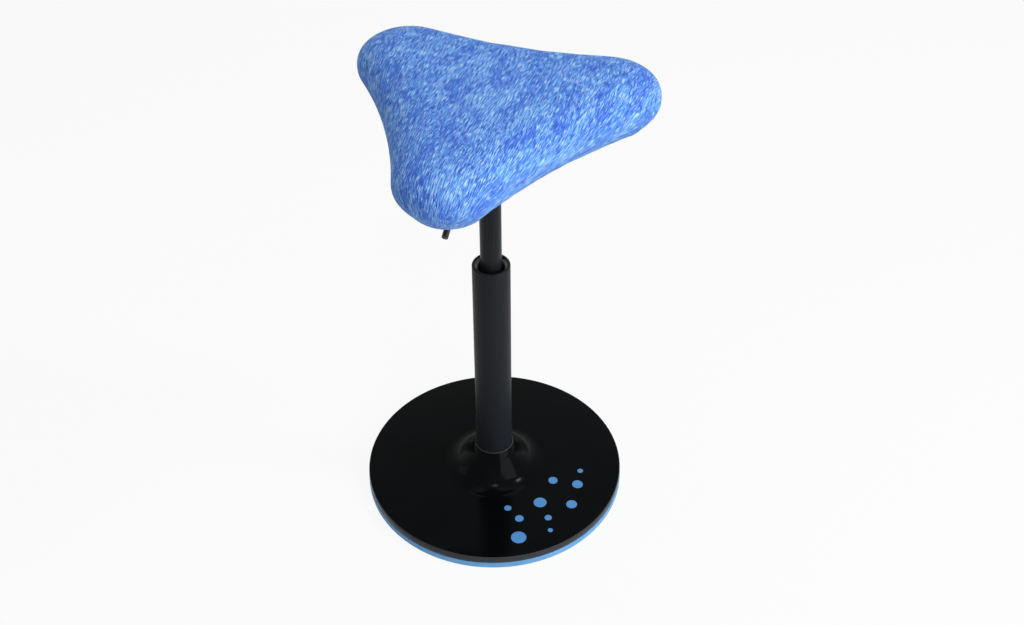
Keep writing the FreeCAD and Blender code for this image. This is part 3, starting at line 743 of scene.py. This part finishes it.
# %% [markdown]
# ## Dust cover
# A sheet of black fleece hides the board from below and the raw edge of the knit. It is cut to the seat's
# outline with a round hole for the seat plate, and stapled. The outline and a circle are bridged, cut into
# finer rows and given a thickness, and a slow ripple keeps it from looking like a plate.

# %% Fleece
fleece_black = Finish("black_fleece", (0.013, 0.013, 0.014), 0.95, Specular_IOR_Level=0.2, Sheen_Weight=0.2)
fibre = fleece_black.noise(fleece_black.place(), 1400, 3)
felt = fleece_black.noise(fleece_black.place(), 90, 3)
fleece_black.put("Base Color", fleece_black.mix(felt.between(0.3, 0.7),
                                                (0.010, 0.010, 0.011), (0.018, 0.018, 0.020)))
fleece_black.put("Roughness", 0.85 + fibre * 0.12)
fleece_black.bump(fibre + felt, 0.2, 0.7)

# %% Dust cover, cut, bridged and thickened
DUST_INSET, DUST_HOLE_R, DUST_Z = 34.0, SEAT_PLATE_R + 2, UNDERSIDE - 0.4
sheet = bmesh.new()
rim = outline(sheet, DUST_INSET, DUST_Z, 24, 16)
bmesh.ops.create_circle(sheet, radius=DUST_HOLE_R * MM, segments=len(rim),
                        matrix=Matrix.Translation((0, 0, DUST_Z * MM)))
bmesh.ops.bridge_loops(sheet, edges=sheet.edges[:])
across = [e for e in sheet.edges if not e.is_boundary]
bmesh.ops.subdivide_edges(sheet, edges=across, cuts=7, use_grid_fill=True)
flat_area = sum(f.calc_area() for f in sheet.faces)
for vert in sheet.verts:
    if not vert.is_boundary:
        vert.co.z += 0.25 * MM * math.sin(vert.co.x * 90) * math.cos(vert.co.y * 70 + 1)
bmesh.ops.recalc_face_normals(sheet, faces=sheet.faces)
bmesh.ops.solidify(sheet, geom=sheet.faces[:], thickness=0.6 * MM)
bmesh.ops.recalc_face_normals(sheet, faces=sheet.faces)
fleece = finished(sheet, "dust_fleece", "seat", fleece_black.material, ["dust_cover"])

# %% [markdown]
# ## Staples
# The upholsterer's staples hold the fleece and the knit to the board every 28 mm. Each is a wire bar with
# rounded edges: a cube that one matrix scales to the bar, turns a little askew and puts in its place. All of
# them are bevelled together.

# %% Staples round the fleece
staples = bmesh.new()
spacing = 28 * MM
travelled = 0.0
count = 0
for a, b in zip(outline_points, outline_points[1:] + outline_points[:1]):
    travelled += (b - a).length
    if travelled < spacing:
        continue
    travelled -= spacing
    spot = placed(a, DUST_INSET + 6, UNDERSIDE - 1.0)
    way = (b - a).normalized()
    askew = Matrix.Rotation(math.atan2(way.y, way.x) + 0.12 * math.sin(count * 2.4), 4, "Z")
    bar = Matrix.Translation(spot) @ askew @ Matrix.Diagonal((10 * MM, 1.1 * MM, 0.6 * MM, 1))
    bmesh.ops.create_cube(staples, size=1, matrix=bar)
    count += 1
bmesh.ops.bevel(staples, geom=staples.edges[:], offset=0.18 * MM, offset_type="OFFSET", segments=2,
                profile=0.5, affect="EDGES", material=-1, clamp_overlap=True)
bmesh.ops.recalc_face_normals(staples, faces=staples.faces)
print(count, "staples")
finished(staples, "fleece_staples", "seat", works["zinc_screws"])

# %% [markdown]
# ## Floor, light and camera
# The photograph was taken from above and in front. A small key light stands high on the right, and a second one
# above the front: both draw a highlight at the foot of the trumpet. A wide light low on the right brightens the
# seat's flank. The floor is pale. Seen by the camera it is mostly a plain white of strength 1, so that the
# background is white without more light on the stool, and it keeps the shadow.

# %% Rays that end in the camera
def looked_at(tree):
    """1 for a ray from the camera, or one that a mirror or glass sends on, and 0 for the light's own."""
    names = ("Is Camera Ray", "Is Glossy Ray", "Is Transmission Ray")
    direct, mirrored, clear = (tree.node("ShaderNodeLightPath", output=name) for name in names)
    return direct.maths("MAXIMUM", mirrored).maths("MAXIMUM", clear)


# %% Floor
PLAIN_WHITE = 0.9
floor_bm = bmesh.new()
bmesh.ops.create_grid(floor_bm, x_segments=1, y_segments=1, size=6)
floor_mesh = bpy.data.meshes.new("studio_floor")
floor_bm.to_mesh(floor_mesh)
floor_bm.free()
floor = bpy.data.objects.new("studio_floor", floor_mesh)
bpy.context.scene.collection.objects.link(floor)
pale_floor = Finish("studio_pale", (0.82, 0.82, 0.83), 0.9, Specular_IOR_Level=0.1)
lit = Wire(pale_floor, pale_floor.shader.outputs[0])
white = pale_floor.node("ShaderNodeEmission", None, {"Color": (1, 1, 1, 1), "Strength": 1.0})
shown = pale_floor.node("ShaderNodeMixShader", None, (looked_at(pale_floor) * PLAIN_WHITE, lit, white))
pale_floor.tree.links.new(shown.socket, pale_floor.tree.nodes["Material Output"].inputs["Surface"])
floor_mesh.materials.append(pale_floor.material)


# %% Lamps
def soft_light(name, place, power, size, aim=(0, 0, 0.35)):
    lamp = bpy.data.lights.new(name, "AREA")
    lamp.shape = "SQUARE"
    lamp.size = size
    lamp.energy = power
    rig = bpy.data.objects.new(name, lamp)
    bpy.context.scene.collection.objects.link(rig)
    rig.location = place
    rig.rotation_euler = (Vector(aim) - Vector(place)).to_track_quat("-Z", "Y").to_euler()


soft_light("key", (1.7, 0.3, 2.2), 18, 0.35, (0, 0, 0.1))
soft_light("top front", (0.4, -1.2, 2.5), 8, 0.3, (0, 0, 0.1))
soft_light("overhead", (0, 0.3, 3.0), 14, 2.0)
soft_light("flank fill", (2.6, -1.2, 1.0), 64, 2.4)
soft_light("left fill", (-2.4, -0.2, 1.3), 3, 1.0)

# %% World
world = bpy.data.worlds.new("studio")
bpy.context.scene.world = world
world.use_nodes = True
backdrop = world.node_tree.nodes["Background"]
sky = Tree(world.node_tree)
PLAIN_LIGHT = 0.24
sky.feed(backdrop.inputs["Strength"], looked_at(sky) * (1 - PLAIN_LIGHT) + PLAIN_LIGHT)
backdrop.inputs["Color"].default_value = (1, 1, 1, 1)

# %% [markdown]
# ## Camera
# The camera's place, pan, pitch and roll were fitted to the disc's two edges, the column's sides and the rim of
# the tube. They are given on the measuring grid, so the last step turns them with it.

# %% Camera at the photograph's angle
PAN, PITCH, ROLL = 0.0172, 0.709, -0.0062
PLACE, LENS = (0, -1.53545, 1.61859), 54.03
forward = Vector((math.sin(PAN) * math.cos(PITCH), math.cos(PAN) * math.cos(PITCH), -math.sin(PITCH)))
level = Vector((math.cos(PAN), -math.sin(PAN), 0))
upward = level.cross(forward)
view_right = level * math.cos(ROLL) + upward * math.sin(ROLL)
view_up = upward * math.cos(ROLL) - level * math.sin(ROLL)
looking = Matrix((view_right, view_up, -forward)).transposed().to_4x4()
camera_data = bpy.data.cameras.new("camera")
camera_data.sensor_width = 36
camera_data.lens = LENS
camera = bpy.data.objects.new("camera", camera_data)
bpy.context.scene.collection.objects.link(camera)
camera.matrix_world = Matrix.Rotation(GRID_TURN, 4, "Z") @ Matrix.Translation(PLACE) @ looking
bpy.context.scene.camera = camera
bpy.context.scene.view_settings.view_transform = "Standard"
print("camera at", [round(x, 3) for x in camera.matrix_world.translation])
